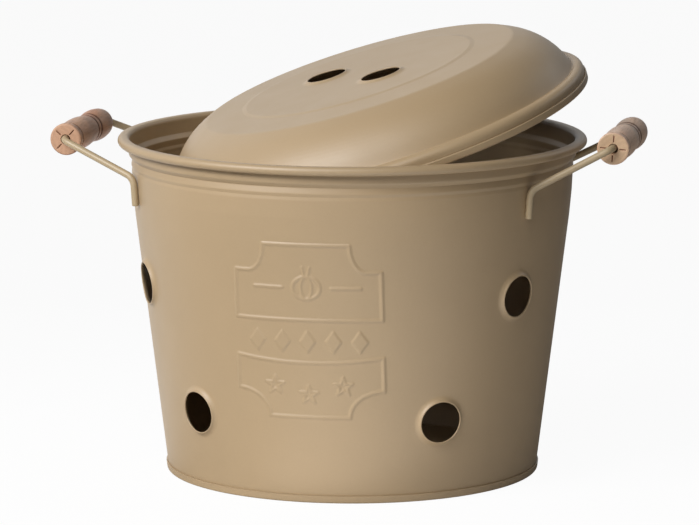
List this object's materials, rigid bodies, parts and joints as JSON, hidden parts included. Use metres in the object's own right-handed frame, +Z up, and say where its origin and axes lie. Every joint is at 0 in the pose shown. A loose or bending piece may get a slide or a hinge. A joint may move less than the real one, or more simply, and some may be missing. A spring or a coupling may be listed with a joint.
{
  "type": "onion storage canister",
  "caption": "Tapered steel pail with raised vent holes, a leaning pressed lid with finger holes, and bent wire handles that carry turned wooden grips.",
  "frame": {"origin": "on the surface it stands on, under the middle of the pail", "axes": "+Z up; the plaque faces -Y; the handles stand out along -X and +X; lengths in metres"},
  "size_m": [0.3364, 0.27, 0.2538],
  "materials": {
    "coated_sheet": "matte powder coat, warm beige",
    "coated_wire": "matte powder coat on round rod",
    "turned_wood": "smooth stained wood with fine grain"
  },
  "bodies": {
    "pail": {"body_shell": "coated_sheet", "bottom_disc": "coated_sheet", "left_handle_wire": "coated_wire", "right_handle_wire": "coated_wire", "left_handle_welds": "coated_wire", "right_handle_welds": "coated_wire"},
    "lid": {"lid_shell": "coated_sheet"},
    "left_grip": {"left_grip": "turned_wood"},
    "right_grip": {"right_grip": "turned_wood"}
  },
  "joints": [
    {"name": "lid_lift", "type": "slide", "parent": "pail", "child": "lid", "axis": [0, 0, 1], "range_m": [0, 0.08]},
    {"name": "left_grip_turn", "type": "hinge", "parent": "pail", "child": "left_grip", "pos_m": [-0.16, 0, 0.1917], "axis": [0, 1, 0], "continuous": true},
    {"name": "right_grip_turn", "type": "hinge", "parent": "pail", "child": "right_grip", "pos_m": [0.158, 0, 0.1957], "axis": [0, 1, 0], "continuous": true}
  ]
}
